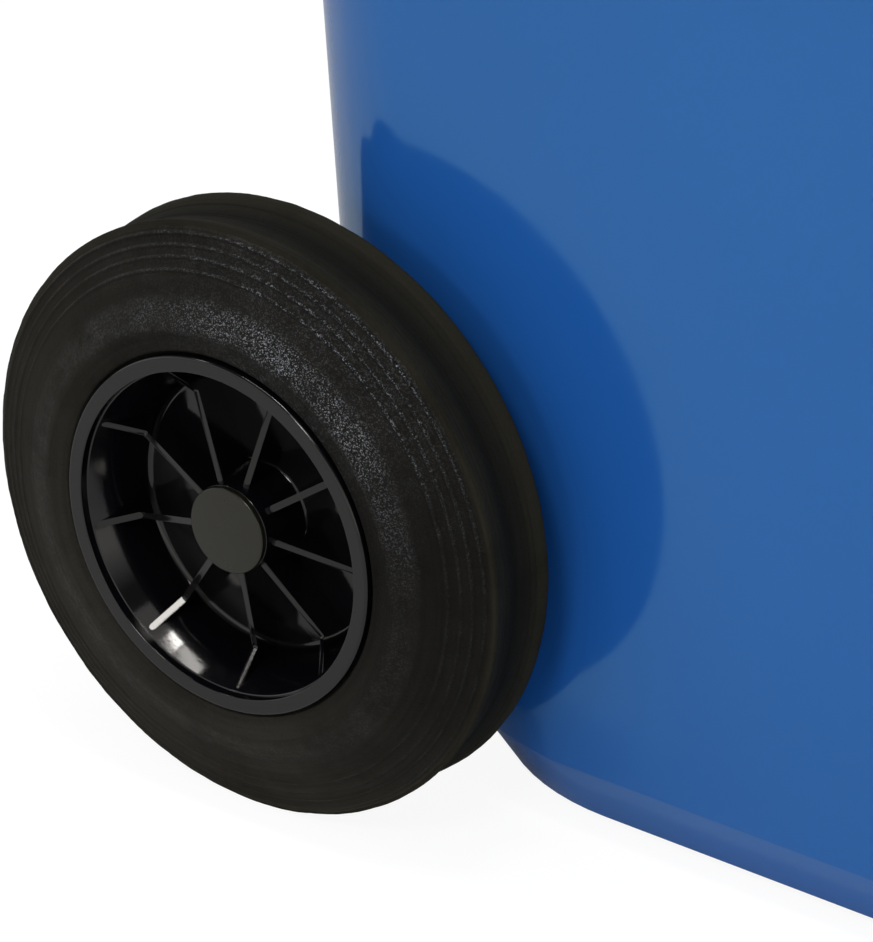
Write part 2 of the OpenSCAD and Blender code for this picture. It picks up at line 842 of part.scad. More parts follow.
// U-shaped bar that hangs from a pivot at the origin: two legs, two bends and a crossbar
module u_bar(r, span, length, bend, top) {
  for (side = [-1, 1]) on_side(side) {
    translate([0, span / 2, bend - length]) cylinder(h = length - bend + top, r = r);
    translate([0, span / 2 - bend, bend - length]) mirror([0, 0, 1]) rotate([90, 0, 90])
      rotate_extrude(angle = 90) translate([bend, 0]) circle(r = r);
  }
  translate([0, 0, -length]) across(span - 2 * bend, r);
}

// Grip on the crossbar of a U-shaped bar
module bar_grip(r, bar_r, span, length, bend) {
  reach = span - 2 * bend - 2 * grip_end;
  translate([0, 0, -length]) difference() {
    across(reach, r);
    across(reach + 2 * over, bar_r + grip_gap);
  }
}

module tow_bracket(side) {
  color("#26292c") difference() {
    translate([band_front_x, side * tow_span / 2, pivot_z]) clevis(tow_out, tow_tube_r);
    at_spots(tow_screw_spots, face_front) screw_hole(plate_t + over);
  }
}

module tow_pin(side) {
  color("#b9bcbf") translate([tow_x, side * tow_span / 2, pivot_z]) pivot_pin(tow_tube_r);
}

module tow_arm() {
  color("#9fa3a6") translate([tow_x, 0, pivot_z]) difference() {
    u_bar(tow_tube_r, tow_span, tow_l, tow_bend, leg_top);
    u_bar(tow_tube_r - tube_wall, tow_span, tow_l, tow_bend, leg_top + over);
    across(2 * tow_span, pin_r + running_gap);
  }
}

module tow_grip() {
  color("#232323") translate([tow_x, 0, pivot_z])
    bar_grip(tow_grip_d / 2, tow_tube_r, tow_span, tow_l, tow_bend);
}

module lift_bracket(side) {
  color("#26292c") difference() {
    translate([band_rear_x, side * lift_span / 2, pivot_z]) mirror([1, 0, 0]) clevis(lift_out, lift_rod_r);
    at_spots(lift_screw_spots, face_rear) screw_hole(plate_t + over);
  }
}

module lift_pin(side) {
  color("#b9bcbf") translate([lift_x, side * lift_span / 2, pivot_z]) pivot_pin(lift_rod_r);
}

module lift_bail() {
  color("#9fa3a6") translate([lift_x, 0, pivot_z]) difference() {
    union() {
      u_bar(lift_rod_r, lift_span, lift_l, lift_bend, 0);
      for (side = [-1, 1]) translate([0, side * lift_span / 2, 0]) across(lift_rod_d - 1, eye_r);
    }
    across(2 * lift_span, pin_r + running_gap);
  }
}

module lift_grip() {
  color("#232323") translate([lift_x, 0, pivot_z])
    bar_grip(lift_grip_d / 2, lift_rod_r, lift_span, lift_l, lift_bend);
}

// ---------------------------------------------------------------- drain

module drain_body() {
  color("#26292c") translate([0, 0, drain_z]) difference() {
    union() {
      along(nut_face_x - drain_nut_t - 2, drain_seat_x + over, drain_tube_r);
      along(drain_seat_x, nipple_x, drain_flange_r);
      along(drain_seat_x + over, drain_end_x, nipple_d / 2);
    }
    along(nut_face_x - 2 * drain_nut_t, drain_end_x + over, drain_r);
  }
}

module drain_washer() {
  color("#1f1f1f") translate([0, 0, drain_z]) difference() {
    along(drain_face_x, drain_seat_x, washer_r);
    along(drain_face_x - over, drain_seat_x + over, drain_tube_r + seat_gap);
  }
}

module drain_nut() {
  color("#26292c") translate([0, 0, drain_z]) difference() {
    translate([nut_face_x - drain_nut_t, 0, 0]) rotate(face_front)
      cylinder(h = drain_nut_t, r = drain_nut_r, $fn = 6);
    along(nut_face_x - 2 * drain_nut_t, nut_face_x + over, drain_tube_r + running_gap);
  }
}

module drain_plug() {
  core_r = drain_r - running_gap;
  seal_x = drain_end_x - seal_back;
  head_x = drain_end_x + seat_gap;
  color("#3a6ea8") translate([0, 0, drain_z]) {
    difference() {
      along(drain_end_x - plug_l, head_x + over, core_r);
      difference() {
        along(seal_x - seal_r - 0.1, seal_x + seal_r + 0.1, core_r + over);
        along(seal_x - 2 * seal_r, seal_x + 2 * seal_r, core_r - 2 * seal_r);
      }
    }
    along(head_x, head_x + plug_head_t, plug_head_r);
    translate([head_x + plug_head_t / 2, -plug_bar_t / 2, -plug_head_r + 1])
      cube([plug_bar_l, plug_bar_t, 2 * plug_head_r - 2]);
  }
}

module drain_seal() {
  ring_mid_r = drain_r - running_gap - seal_r;
  color("#1f1f1f") translate([drain_end_x - seal_back, 0, drain_z]) rotate(face_front)
    rotate_extrude() translate([ring_mid_r, 0]) circle(r = seal_r);
}

// ---------------------------------------------------------------- basket

module basket() {
  height = basket_top + basket_flange_t - basket_low;
  inner_l = basket_l - 2 * basket_t;
  inner_w = 2 * (basket_half - basket_t);
  columns = floor((inner_l - 2 * basket_r) / slot_pitch / 2);
  rows = floor((inner_w - 2 * basket_r) / slot_pitch / 2);
  color("#d9dad6") translate([basket_rear + basket_l / 2, 0, basket_low]) difference() {
    union() {
      round_block(basket_l, 2 * basket_half, basket_r, height);
      translate([0, 0, height - basket_flange_t])
        round_block(basket_l, 2 * (mouth_half - basket_play), basket_r, basket_flange_t);
    }
    translate([0, 0, basket_t]) round_block(inner_l, inner_w, basket_r - basket_t, height);
    // slots in the floor, and down the long and the short walls
    for (i = [-columns:columns]) {
      translate([i * slot_pitch - slot_w / 2, -inner_w / 2 + basket_r, -over])
        cube([slot_w, inner_w - 2 * basket_r, basket_t + 2 * over]);
      translate([i * slot_pitch - slot_w / 2, -basket_half - over, basket_r])
        cube([slot_w, 2 * (basket_half + over), height - 2 * basket_r]);
    }
    for (i = [-rows:rows]) translate([-basket_l / 2 - over, i * slot_pitch - slot_w / 2, basket_r])
      cube([basket_l + 2 * over, slot_w, height - 2 * basket_r]);
  }
}

// ---------------------------------------------------------------- feet and fasteners

module hinge_base_screws() {
  color("#b9bcbf") at_spots(base_screw_spots, face_left) screw(leaf_t + band_bite - 0.5);
}

module hinge_strap_screws() {
  color("#b9bcbf") at_spots(strap_screw_spots, face_left) screw(leaf_t + bite - 0.5);
}

module tow_screws() {
  color("#b9bcbf") at_spots(tow_screw_spots, face_front) screw(plate_t + band_bite - 0.5);
}

module lift_screws() {
  color("#b9bcbf") at_spots(lift_screw_spots, face_rear) screw(plate_t + band_bite - 0.5);
}

module saddle_screws() {
  color("#b9bcbf") at_spots(saddle_screw_spots, face_rear) screw(saddle_leg_t + bite - 0.5);
}

outer_shell();
foam_core();
inner_liner();
basket();
lid_shell();
lid_foam();
lid_panel();
lid_gasket();
hinge_base(hinge_x);  // hinge_base_front
hinge_base(-hinge_x);  // hinge_base_rear
hinge_strap(hinge_x);  // hinge_strap_front
hinge_strap(-hinge_x);  // hinge_strap_rear
hinge_pin(hinge_x);  // hinge_pin_front
hinge_pin(-hinge_x);  // hinge_pin_rear
hinge_base_screws();
hinge_strap_screws();
axle();
axle_saddle(1);  // axle_saddle_left
axle_saddle(-1);  // axle_saddle_right
saddle_screws();
axle_spacer(1);  // axle_spacer_left
axle_spacer(-1);  // axle_spacer_right
push_nut(1);  // push_nut_left
push_nut(-1);  // push_nut_right
wheel_rim(1);  // wheel_rim_left
wheel_rim(-1);  // wheel_rim_right
tyre(1);  // tyre_left
tyre(-1);  // tyre_right
hub_bush(1);  // hub_bush_left
hub_bush(-1);  // hub_bush_right
hub_cap(1);  // hub_cap_left
hub_cap(-1);  // hub_cap_right
foot(1);  // foot_left
foot(-1);  // foot_right
tow_bracket(1);  // tow_bracket_left
tow_bracket(-1);  // tow_bracket_right
tow_pin(1);  // tow_pin_left
tow_pin(-1);  // tow_pin_right
tow_arm();
tow_grip();
tow_screws();
lift_bracket(1);  // lift_bracket_left
lift_bracket(-1);  // lift_bracket_right
lift_pin(1);  // lift_pin_left
lift_pin(-1);  // lift_pin_right
lift_bail();
lift_grip();
lift_screws();
drain_body();
drain_washer();
drain_nut();
drain_plug();
drain_seal();
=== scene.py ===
import json
import math

import bmesh
import bpy
from mathutils import Matrix, Vector, noise

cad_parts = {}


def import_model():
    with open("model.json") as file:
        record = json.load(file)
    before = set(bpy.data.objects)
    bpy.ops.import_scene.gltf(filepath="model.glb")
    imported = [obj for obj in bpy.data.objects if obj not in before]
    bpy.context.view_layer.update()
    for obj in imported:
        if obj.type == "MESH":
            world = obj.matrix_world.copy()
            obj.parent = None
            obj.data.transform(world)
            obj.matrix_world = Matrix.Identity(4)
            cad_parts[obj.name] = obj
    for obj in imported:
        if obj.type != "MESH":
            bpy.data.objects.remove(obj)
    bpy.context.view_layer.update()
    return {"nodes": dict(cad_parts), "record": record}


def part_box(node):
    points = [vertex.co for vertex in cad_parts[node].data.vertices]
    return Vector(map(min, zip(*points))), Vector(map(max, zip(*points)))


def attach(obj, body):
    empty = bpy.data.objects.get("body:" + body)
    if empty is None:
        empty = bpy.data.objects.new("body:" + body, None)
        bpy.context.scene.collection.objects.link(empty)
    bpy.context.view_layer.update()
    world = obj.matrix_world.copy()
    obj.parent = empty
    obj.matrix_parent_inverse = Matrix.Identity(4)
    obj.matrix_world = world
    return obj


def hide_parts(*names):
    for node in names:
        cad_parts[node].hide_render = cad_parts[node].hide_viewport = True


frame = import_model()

# Every length is in millimetres until a mesh is made. They repeat the named values of the CAD
# source, which this script can't read.
BODY_H = 405
BASE_Z = 3
CREASE_Z = 23.5
SKIRT_IN = 9.5
RECESS_Z = 114
BAND_Z = 350
LEAN = math.tan(math.radians(2.5))
CORNER_R = 60
HEEL_R = 78
SKIN = 4
REAR_RIM_X = -332.16
FRONT_RIM_X = 357.84
HALF_RIM = 203
BAND_T = 4
AXLE_X = -298.84
AXLE_Z = 100
HEEL_X = -285.84
RING_Y = 246.68
WHEEL_W = 54
TREAD_HALF = 14.2
LID_Z = 408.4
LID_TOP = 460.4
LID_ROUND = 14
CUP_R = 40
CUP_DEPTH = 12
CUP_IN = 96

SIDES = {"left": 1, "right": -1}
RIDGES = [86.0, 89.7, 93.1, 96.6]


# ---------------------------------------------------------------- outlines

def soften(points, closed=True, step=12):
    """Rounds the corners of an outline. Each point is (a, b) or (a, b, radius)."""
    out = []
    count = len(points)
    for i, p in enumerate(points):
        radius = p[2] if len(p) > 2 else 0
        here = Vector(p[:2])
        if not radius or (not closed and i in (0, count - 1)):
            out.append(tuple(here))
            continue
        back = Vector(points[i - 1][:2]) - here
        on = Vector(points[(i + 1) % count][:2]) - here
        between = back.angle(on)
        reach = min(radius / math.tan(between / 2), 0.499 * back.length, 0.499 * on.length)
        radius = reach * math.tan(between / 2)
        start = here + back.normalized() * reach
        end = here + on.normalized() * reach
        centre = here + (back.normalized() + on.normalized()).normalized() * math.hypot(reach, radius)
        turn = math.pi - between
        steps = max(2, round(math.degrees(turn) / step))
        a, b = start - centre, end - centre
        for k in range(steps + 1):
            t = k / steps
            w0 = math.sin((1 - t) * turn) / math.sin(turn)
            w1 = math.sin(t * turn) / math.sin(turn)
            out.append(tuple(centre + a * w0 + b * w1))
    return out


def spline(points, per_span=6):
    """Catmull-Rom curve through the points."""
    out = []
    for i in range(len(points) - 1):
        p = [Vector(points[max(0, min(len(points) - 1, i + k))]) for k in (-1, 0, 1, 2)]
        for k in range(per_span):
            t = k / per_span
            out.append(tuple(0.5 * (2 * p[1] + (p[2] - p[0]) * t
                                    + (2 * p[0] - 5 * p[1] + 4 * p[2] - p[3]) * t * t
                                    + (3 * p[1] - p[0] - 3 * p[2] + p[3]) * t ** 3)))
    out.append(tuple(points[-1]))
    return out


def lerp(a, b, t):
    return tuple(x + (y - x) * t for x, y in zip(a, b))


# ---------------------------------------------------------------- meshes

class Form:
    """Vertices in millimetres and faces, gathered before they become one object."""

    def __init__(self):
        self.verts = []
        self.faces = []

    def ring(self, points):
        start = len(self.verts)
        self.verts += [tuple(p) for p in points]
        return list(range(start, start + len(points)))

    def bridge(self, a, b, closed=True):
        count = len(a)
        for i in range(count if closed else count - 1):
            j = (i + 1) % count
            self.faces.append((a[i], a[j], b[j], b[i]))

    def loft(self, rings, cap_start=False, cap_end=False):
        made = [self.ring(r) for r in rings]
        for a, b in zip(made, made[1:]):
            self.bridge(a, b)
        if cap_start:
            self.faces.append(tuple(reversed(made[0])))
        if cap_end:
            self.faces.append(tuple(made[-1]))
        return made

    def revolve(self, profile, place, segments=96, closed=True):
        """Turns an outline of (radius, depth) about the depth axis. place puts a point in the frame."""
        rows = []
        for i in range(segments):
            turn = 2 * math.pi * i / segments
            c, s = math.cos(turn), math.sin(turn)
            rows.append(self.ring([place(r * c, r * s, d) for r, d in profile]))
        for i in range(segments):
            self.bridge(rows[i], rows[(i + 1) % segments], closed)

    def solid(self, mesh_maker):
        """Adds the vertices and faces of a bmesh that mesh_maker fills."""
        bm = bmesh.new()
        mesh_maker(bm)
        bm.verts.ensure_lookup_table()
        start = len(self.verts)
        self.verts += [tuple(v.co) for v in bm.verts]
        for f in bm.faces:
            self.faces.append(tuple(start + v.index for v in f.verts))
        bm.free()


def put(name, data):
    """A new object of the scene that shows the data."""
    obj = bpy.data.objects.new(name, data)
    bpy.context.scene.collection.objects.link(obj)
    return obj


def make(name, form, material, body, replaced=(), sharp=32, weld=0.001):
    """One piece: edges over sharp degrees stay crisp, and it rides on a body."""
    mesh = bpy.data.meshes.new(name)
    mesh.from_pydata([[c / 1000 for c in v] for v in form.verts], [], form.faces)
    bm = bmesh.new()
    bm.from_mesh(mesh)
    bmesh.ops.remove_doubles(bm, verts=bm.verts, dist=weld / 1000)
    bmesh.ops.recalc_face_normals(bm, faces=bm.faces)
    for f in bm.faces:
        f.smooth = True
    limit = math.radians(sharp)
    for e in bm.edges:
        e.smooth = len(e.link_faces) != 2 or e.calc_face_angle(0) < limit
    bm.to_mesh(mesh)
    bm.free()
    obj = put(name, mesh)
    mesh.materials.append(material)
    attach(obj, body)
    if replaced:
        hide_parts(*replaced)
    return obj


def modify(obj, name, kind, **settings):
    modifier = obj.modifiers.new(name, kind)
    for key, value in settings.items():
        setattr(modifier, key, value)


def flatten_shading(obj):
    """Lets the large faces keep their own direction, so only the rounds between them shade off."""
    modify(obj, "weigh", "WEIGHTED_NORMAL", keep_sharp=True, weight=100)


def round_edges(obj, name, width, angle, segments, **settings):
    modify(obj, name, "BEVEL", limit_method="ANGLE", angle_limit=math.radians(angle),
           width=width / 1000, segments=segments, **settings)


def thicken_inward(obj):
    modify(obj, "skin", "SOLIDIFY", thickness=SKIN / 1000, offset=-1)


# ---------------------------------------------------------------- materials

def material(name, colour, roughness, metallic=0.0, ior=1.5, sheen=(1, 1, 1)):
    """A Principled material, its node tree and its shader. sheen tints what it reflects."""
    mat = bpy.data.materials.new(name)
    mat.use_nodes = True
    tree = mat.node_tree
    shader = tree.nodes["Principled BSDF"]
    shader.inputs["Base Color"].default_value = (*colour, 1)
    shader.inputs["Roughness"].default_value = roughness
    shader.inputs["Metallic"].default_value = metallic
    shader.inputs["IOR"].default_value = ior
    shader.inputs["Specular Tint"].default_value = (*sheen, 1)
    return mat, tree, shader


def add_noise(tree, scale, detail=3.0, rough=0.5, stretch=None, kind="ShaderNodeTexNoise"):
    """A noise texture in the frame's own metres, with scale in cells per metre."""
    place = tree.nodes.new("ShaderNodeTexCoord")
    out = place.outputs["Object"]
    if stretch:
        mapping = tree.nodes.new("ShaderNodeMapping")
        mapping.inputs["Scale"].default_value = stretch
        tree.links.new(out, mapping.inputs["Vector"])
        out = mapping.outputs["Vector"]
    tex = tree.nodes.new(kind)
    tex.inputs["Scale"].default_value = scale
    if "Detail" in tex.inputs:
        tex.inputs["Detail"].default_value = detail
        tex.inputs["Roughness"].default_value = rough
    tree.links.new(out, tex.inputs["Vector"])
    return tex.outputs["Distance" if kind == "ShaderNodeTexVoronoi" else "Fac"]


def ramp(tree, source, stops):
    """Colour ramp: stops of (place, colour)."""
    node = tree.nodes.new("ShaderNodeValToRGB")
    elements = node.color_ramp.elements
    while len(elements) < len(stops):
        elements.new(0.5)
    for element, (place, colour) in zip(elements, stops):
        element.position = place
        element.color = (*colour, 1) if hasattr(colour, "__len__") else (colour, colour, colour, 1)
    tree.links.new(source, node.inputs["Fac"])
    return node.outputs["Color"]


def vary(tree, source, socket, stops):
    """Drives a shader socket by a ramp over a source."""
    tree.links.new(ramp(tree, source, stops), socket)


def bump(tree, shader, layers):
    """Stacks bump nodes: layers of (height socket, distance in metres, strength)."""
    normal = None
    for height, distance, strength in layers:
        node = tree.nodes.new("ShaderNodeBump")
        node.inputs["Distance"].default_value = distance
        node.inputs["Strength"].default_value = strength
        tree.links.new(height, node.inputs["Height"])
        if normal:
            tree.links.new(normal, node.inputs["Normal"])
        normal = node.outputs["Normal"]
    tree.links.new(normal, shader.inputs["Normal"])


def tint(colour, by):
    return tuple(max(0, c * by) for c in colour)


def plastic(name, colour, roughness, grain=900, grain_depth=0.00002, spread=0.05, rough_spread=0.05,
            wave=0.0, ior=1.5, sheen=(1, 1, 1)):
    """Moulded plastic: slight cloudiness, uneven gloss and a fine skin."""
    mat, tree, shader = material(name, colour, roughness, ior=ior, sheen=sheen)
    cloud = add_noise(tree, 9, 4)
    vary(tree, cloud, shader.inputs["Base Color"],
         [(0.3, tint(colour, 1 - spread)), (0.7, tint(colour, 1 + spread))])
    gloss = add_noise(tree, 38, 5, 0.65)
    vary(tree, gloss, shader.inputs["Roughness"],
         [(0.3, roughness - rough_spread), (0.75, roughness + rough_spread)])
    layers = [(add_noise(tree, grain, 2), grain_depth, 1.0)]
    if wave:
        layers.insert(0, (add_noise(tree, 7, 1), wave, 1.0))
    bump(tree, shader, layers)
    return mat


def metal(name, colour, roughness, grain=(1, 1, 1), scale=600):
    """Bare metal, streaked along the grain and unevenly dulled."""
    mat, tree, shader = material(name, colour, roughness, metallic=1.0)
    streak = add_noise(tree, scale, 3, 0.6, stretch=grain)
    vary(tree, streak, shader.inputs["Base Color"],
         [(0.3, tint(colour, 0.85)), (0.7, tint(colour, 1.1))])
    vary(tree, add_noise(tree, 60, 4), shader.inputs["Roughness"],
         [(0.3, roughness - 0.07), (0.7, roughness + 0.1)])
    bump(tree, shader, [(streak, 0.00002, 0.6)])
    return mat


def rubber(name, colour, roughness=0.6):
    """Soft rubber or foam: cloudy, with a fine open skin."""
    mat, tree, shader = material(name, colour, roughness)
    cloud = add_noise(tree, 45, 5, 0.6)
    vary(tree, cloud, shader.inputs["Base Color"],
         [(0.3, tint(colour, 0.75)), (0.7, tint(colour, 1.35))])
    bump(tree, shader, [(add_noise(tree, 1100, 3, 0.7), 0.00012, 0.7)])
    return mat


def math_node(tree, operation, a, b=None):
    """Math node on sockets or numbers."""
    node = tree.nodes.new("ShaderNodeMath")
    node.operation = operation
    for socket, value in zip(node.inputs, (a, b)):
        if value is None:
            continue
        if isinstance(value, (int, float)):
            socket.default_value = value
        else:
            tree.links.new(value, socket)
    return node.outputs[0]


def wheel_polar(tree):
    """Distance from the wheels' axis in metres, the share of a turn, 1 on the sidewalls and 0 on the
    tread, and a vector of (way round, distance, Y)."""
    place = tree.nodes.new("ShaderNodeTexCoord")
    split = tree.nodes.new("ShaderNodeSeparateXYZ")
    tree.links.new(place.outputs["Object"], split.inputs[0])
    x = math_node(tree, "SUBTRACT", split.outputs["X"], AXLE_X / 1000)
    z = math_node(tree, "SUBTRACT", split.outputs["Z"], AXLE_Z / 1000)
    radius = math_node(tree, "SQRT", math_node(tree, "ADD", math_node(tree, "MULTIPLY", x, x),
                                               math_node(tree, "MULTIPLY", z, z)))
    turn = math_node(tree, "MULTIPLY", math_node(tree, "ARCTAN2", z, x), 0.5 / math.pi)
    around = tree.nodes.new("ShaderNodeCombineXYZ")
    tree.links.new(math_node(tree, "MULTIPLY", turn, 0.5), around.inputs["X"])
    tree.links.new(radius, around.inputs["Y"])
    tree.links.new(split.outputs["Y"], around.inputs["Z"])
    off_middle = math_node(tree, "SUBTRACT", math_node(tree, "ABSOLUTE", split.outputs["Y"]),
                           (RING_Y - WHEEL_W / 2) / 1000)
    wall = math_node(tree, "GREATER_THAN", math_node(tree, "ABSOLUTE", off_middle),
                     TREAD_HALF / 1000)
    return radius, math_node(tree, "ADD", turn, 0.5), wall, around.outputs[0]


def by_radius(tree, radius, stops):
    """Ramp over the distance from the axis: stops of (millimetres, value)."""
    low, high = stops[0][0], stops[-1][0]
    above = math_node(tree, "SUBTRACT", radius, low / 1000)
    share = math_node(tree, "MULTIPLY", above, 1000 / (high - low))
    return ramp(tree, share, [((mm - low) / (high - low), value) for mm, value in stops])


def noise_on(tree, vector, stretch, detail=3.0, rough=0.6):
    """Noise over a given vector, with the scale along each of its axes."""
    mapping = tree.nodes.new("ShaderNodeMapping")
    mapping.inputs["Scale"].default_value = stretch
    tree.links.new(vector, mapping.inputs["Vector"])
    tex = tree.nodes.new("ShaderNodeTexNoise")
    tex.inputs["Scale"].default_value = 1
    tex.inputs["Detail"].default_value = detail
    tex.inputs["Roughness"].default_value = rough
    tree.links.new(mapping.outputs[0], tex.inputs["Vector"])
    return tex.outputs["Fac"]


def mix_colour(tree, a, b, factor=1, blend="MIX"):
    """Mix node on colours. Each of a, b and factor is a socket or a constant."""
    node = tree.nodes.new("ShaderNodeMix")
    node.data_type = "RGBA"
    node.blend_type = blend
    for socket, value in (("Factor", factor), ("A", a), ("B", b)):
        if isinstance(value, tuple):
            node.inputs[socket].default_value = (*value, 1)
        elif isinstance(value, (int, float)):
            node.inputs[socket].default_value = value
        else:
            tree.links.new(value, node.inputs[socket])
    return node.outputs["Result"]


def some_cells(tree, scale, share):
    """From 0 to 1 in a share of small cells, scale of them to a metre, and 0 in the others."""
    place = tree.nodes.new("ShaderNodeTexCoord")
    tex = tree.nodes.new("ShaderNodeTexVoronoi")
    tex.inputs["Scale"].default_value = scale
    tree.links.new(place.outputs["Object"], tex.inputs["Vector"])
    split = tree.nodes.new("ShaderNodeSeparateColor")
    tree.links.new(tex.outputs["Color"], split.inputs[0])
    return ramp(tree, split.outputs[0], [(0.0, 1.0), (share, 0.0)])


def tyre_rubber():
    """Solid rubber: cloudy and worn along its run, with pits that are dented and also darkened as
    painted shade, and painted shade that makes the sidewalls darker towards the front and top of the
    wheel and lightest at the bottom.
    Grit flakes glint on the swell beside the bead and on the fine ridges; they are metallic and really
    reflect the lamps, but sit mostly over the one sector where the highlight falls, which makes them
    partly a painted highlight."""
    side, tread = (0.0270, 0.0248, 0.0196), (0.0698, 0.0619, 0.0392)
    mat, tree, shader = material("tyre_rubber", side, 0.58, ior=1.27, sheen=(1.0, 0.97, 0.88))
    radius, turn, wall, around = wheel_polar(tree)
    cloud = ramp(tree, add_noise(tree, 40, 6, 0.65), [(0.3, 0.62), (0.52, 1.0), (0.75, 1.0)])
    streak = noise_on(tree, around, (9, 500, 420), 4, 0.7)
    worn = ramp(tree, streak, [(0.3, 0.6), (0.6, 1.0), (0.8, 1.0)])
    # Pits: dented by the bump, and also darkened in colour, which is painted shade inside them.
    pits_and_shade = ramp(tree, add_noise(tree, 110, kind="ShaderNodeTexVoronoi"), [(0.05, 0.15), (0.12, 1.0)])
    colour = by_radius(tree, radius, [(60, side), (97.2, side), (99, tread), (101, tread)])
    # Painted shade: the sidewall colour is made darker towards the front and top of the wheel and
    # lightest at the bottom, as light falls on it; the tread only gets an even darkening.
    painted_side_shade = ramp(tree, turn, [(0.0, 0.76), (0.08, 0.92), (0.30, 1.0), (0.38, 0.55), (0.45, 0.32),
                             (0.53, 0.20), (0.66, 0.22), (0.78, 0.31), (0.87, 0.48), (0.95, 0.72)])
    painted_side_shade = mix_colour(tree, (0.28, 0.29, 0.29), painted_side_shade, wall)
    for layer in (cloud, worn, pits_and_shade, painted_side_shade):
        colour = mix_colour(tree, colour, layer, blend="MULTIPLY")

    stops = [(60, 0.08), (67.5, 0.12), (70.5, 1.0), (76.0, 0.9), (79.5, 0.12), (85.6, 0.12)]
    for crest in RIDGES:
        stops += [(crest - 0.2, 0.16), (crest, 1.0), (crest + 0.4, 1.0), (crest + 0.7, 0.16)]
    zone = math_node(tree, "MULTIPLY", wall, by_radius(tree, radius, stops + [(98.6, 0.1), (101, 0.0)]))
    # Partly a painted highlight: the metallic flakes and their pale colour are kept to this sector of
    # the wheel, where the lamps' highlight falls.
    highlight_sector = ramp(tree, turn, [(0.50, 0.06), (0.57, 0.25), (0.64, 1.0), (0.71, 1.0), (0.80, 0.25),
                               (0.90, 0.06)])
    patch = ramp(tree, add_noise(tree, 90, 6, 0.75), [(0.40, 0.25), (0.56, 0.75), (0.66, 1.0)])
    glint = math_node(tree, "MULTIPLY", math_node(tree, "MULTIPLY", zone, patch), highlight_sector)
    flake = math_node(tree, "MULTIPLY", some_cells(tree, 2900, 0.34), glint)
    tree.links.new(flake, shader.inputs["Metallic"])
    tree.links.new(mix_colour(tree, colour, (0.42, 0.44, 0.48), flake), shader.inputs["Base Color"])
    vary(tree, glint, shader.inputs["Roughness"], [(0.0, 0.95), (0.06, 0.62), (0.9, 0.24)])
    speck = math_node(tree, "MULTIPLY", add_noise(tree, 1700, 1, 0.6), glint)
    hair = math_node(tree, "MULTIPLY", noise_on(tree, around, (900, 120, 60), 2),
                     by_radius(tree, radius, [(60, 1.0), (65, 1.0), (69, 0.0), (101, 0.0)]))
    bump(tree, shader, [(streak, 0.0005, 0.6), (add_noise(tree, 55, 3), 0.0006, 0.5),
                        (hair, 0.0006, 0.7), (pits_and_shade, 0.0012, 1.0),
                        (add_noise(tree, 700, 4, 0.8), 0.0008, 0.9), (speck, 0.0012, 1.0)])
    return mat


BLUE = plastic("shell_blue", (0.0136, 0.100, 0.386), 0.11, grain=700, grain_depth=0.000006,
               spread=0.03, rough_spread=0.03, wave=0.00012, ior=1.65, sheen=(0.42, 1.0, 0.85))
RIM_BLACK = plastic("rim_black", (0.0022, 0.0022, 0.0032), 0.11, grain=900, grain_depth=0.00001,
                    spread=0.1, rough_spread=0.03, ior=1.52, sheen=(1.0, 0.97, 0.92))
CAP_BLACK = plastic("cap_black", (0.0085, 0.0080, 0.0050), 0.26, grain=1500, grain_depth=0.00002,
                    spread=0.08, rough_spread=0.04, sheen=(1.0, 0.99, 0.88))
TYRE = tyre_rubber()
FITTING = plastic("fitting_black", (0.020, 0.021, 0.023), 0.42, grain=1300, grain_depth=0.00005,
                  spread=0.12, rough_spread=0.08)
LINER = plastic("liner_white", (0.80, 0.80, 0.76), 0.34, grain=500, grain_depth=0.00003,
                spread=0.02, rough_spread=0.08)
BASKET = plastic("basket_grey", (0.52, 0.53, 0.51), 0.40, grain=700, grain_depth=0.00004,
                 spread=0.03, rough_spread=0.08)
BUSH = plastic("bush_white", (0.62, 0.60, 0.53), 0.38, grain=900, spread=0.04)
FOAM = rubber("foam_yellow", (0.72, 0.60, 0.32), 0.85)
SEAL = rubber("seal_grey", (0.16, 0.16, 0.155), 0.6)
SEAL_BLACK = rubber("seal_black", (0.018, 0.018, 0.018), 0.65)
GRIP = rubber("grip_black", (0.016, 0.016, 0.017), 0.58)
STEEL = metal("bright_steel", (0.50, 0.51, 0.53), 0.30)
TUBE = metal("tube_satin", (0.50, 0.51, 0.52), 0.32, grain=(1, 1, 0.05), scale=900)

SLOT_MATERIALS = {
    "shell_blue": BLUE, "liner_white": LINER, "basket_grey": BASKET, "foam": FOAM,
    "seal_grey": SEAL, "seal_black": SEAL_BLACK, "fitting_black": FITTING, "bright_steel": STEEL,
    "tube_metal": TUBE, "grip_rubber": GRIP, "rim_black": RIM_BLACK, "cap_black": CAP_BLACK,
    "bush_white": BUSH, "tyre": TYRE,
}


# ---------------------------------------------------------------- body

CORNER_STEPS = 18
EXTRA_STEPS = 12


def wall_plan(z):
    """Rear x, front x, half width, rear and front corner radius of the body at a height."""
    low = (HEEL_X, FRONT_RIM_X - (BODY_H - CREASE_Z) * LEAN, HALF_RIM - (BODY_H - CREASE_Z) * LEAN,
           HEEL_R, CORNER_R)
    rise = (BODY_H - z) * LEAN
    if z <= CREASE_Z:
        return low
    if z >= RECESS_Z:
        return (REAR_RIM_X + rise, FRONT_RIM_X - rise, HALF_RIM - rise, CORNER_R, CORNER_R)
    return lerp(low, wall_plan(RECESS_Z), (z - CREASE_Z) / (RECESS_Z - CREASE_Z))


BAND_PLAN = (REAR_RIM_X - BAND_T, FRONT_RIM_X + BAND_T, HALF_RIM + BAND_T, CORNER_R + BAND_T,
             CORNER_R + BAND_T)


def draw_in(plan, inset):
    x0, x1, half, r0, r1 = plan
    return x0 + inset, x1 - inset, half - inset, max(1, r0 - inset), max(1, r1 - inset)


def shift_in(plan, inset):
    """As draw_in, with the corner radii kept."""
    x0, x1, half, r0, r1 = plan
    return x0 + inset, x1 - inset, half - inset, r0, r1


